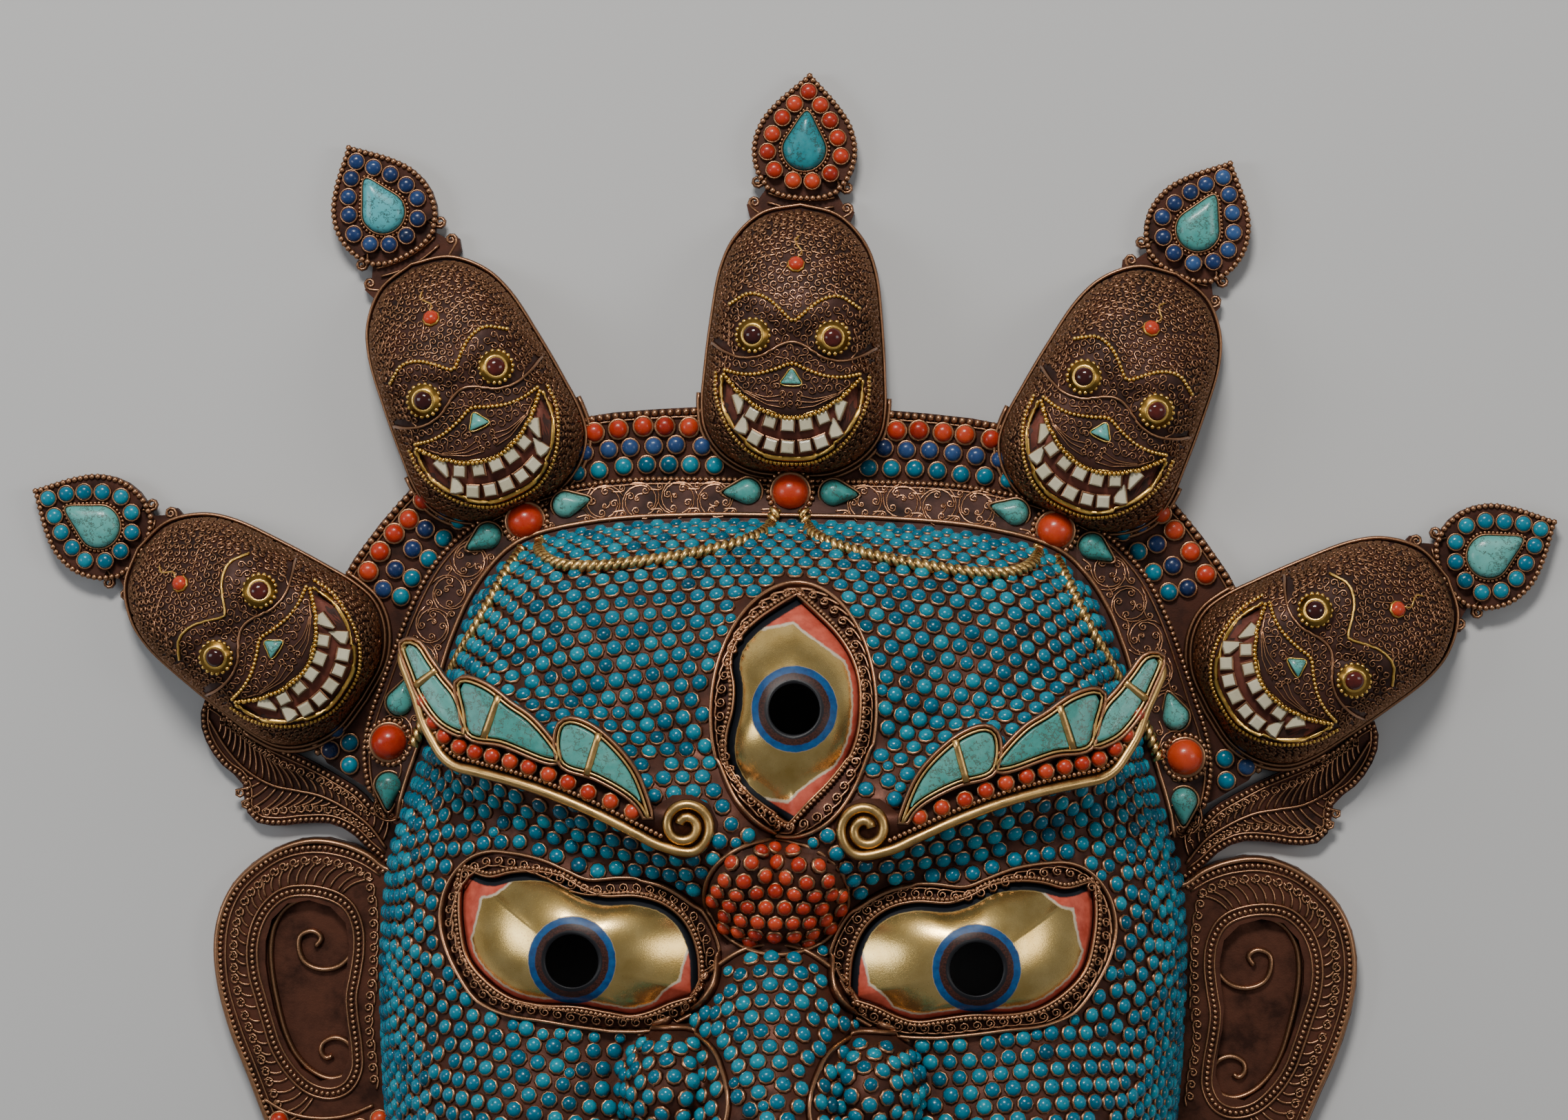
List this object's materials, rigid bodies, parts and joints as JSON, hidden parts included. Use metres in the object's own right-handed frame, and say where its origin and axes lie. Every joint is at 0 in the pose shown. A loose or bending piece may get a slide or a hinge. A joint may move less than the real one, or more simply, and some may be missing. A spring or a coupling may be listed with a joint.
{
  "type": "tibetan cham mask",
  "caption": "Wrathful three-eyed dance mask of sheet copper covered in turquoise beads, with a crown of skulls, jewelled finials and filigree ears.",
  "frame": {"origin": "middle of the mask's footprint on the plane it lies on, under the face", "axes": "+Z the way the face looks, +Y from chin to crown, +X to the viewer's right"},
  "size_m": [0.598, 0.536, 0.1439],
  "materials": {
    "turquoise_beadwork": "rows of polished turquoise beads in copper cups",
    "oxidised_copper": "dark oxidised copper filigree, rubbed bright on the wires",
    "gold_leaf": "satin gold leaf with painted pupils and lids",
    "gold_wire": "worn gilt wire",
    "coral": "polished coral",
    "turquoise_stone": "polished turquoise with dark veins",
    "bone": "worn ivory-coloured bone"
  },
  "bodies": {
    "root": {"face_shell": "turquoise_beadwork", "crown_plate": "oxidised_copper", "diadem": "oxidised_copper", "ear_left": "oxidised_copper", "ear_right": "oxidised_copper", "ear_leaf_left": "oxidised_copper", "ear_leaf_right": "oxidised_copper", "skull_1": "oxidised_copper", "skull_2": "oxidised_copper", "skull_3": "oxidised_copper", "skull_4": "oxidised_copper", "skull_5": "oxidised_copper", "finial_1": "oxidised_copper", "finial_2": "oxidised_copper", "finial_3": "oxidised_copper", "finial_4": "oxidised_copper", "finial_5": "oxidised_copper", "eye_left": "gold_leaf", "eye_right": "gold_leaf", "eye_third": "gold_leaf", "brow_left": "gold_wire", "brow_right": "gold_wire", "swag_left": "gold_wire", "swag_right": "gold_wire", "strand_left": "gold_wire", "strand_right": "gold_wire", "diadem_coral_1": "coral", "diadem_coral_2": "coral", "diadem_coral_3": "coral", "diadem_coral_4": "coral", "diadem_coral_5": "coral", "diadem_drop_1": "turquoise_stone", "diadem_drop_2": "turquoise_stone", "diadem_drop_3": "turquoise_stone", "diadem_drop_4": "turquoise_stone", "diadem_drop_5": "turquoise_stone", "diadem_drop_6": "turquoise_stone", "diadem_drop_7": "turquoise_stone", "diadem_drop_8": "turquoise_stone", "diadem_drop_9": "turquoise_stone", "diadem_drop_10": "turquoise_stone", "finial_stone_1": "turquoise_stone", "finial_stone_2": "turquoise_stone", "finial_stone_3": "turquoise_stone", "finial_stone_4": "turquoise_stone", "finial_stone_5": "turquoise_stone", "upper_teeth": "bone", "lower_teeth": "bone", "fang_upper_left": "bone", "fang_upper_right": "bone", "fang_lower_left": "bone", "fang_lower_right": "bone"}
  },
  "joints": []
}
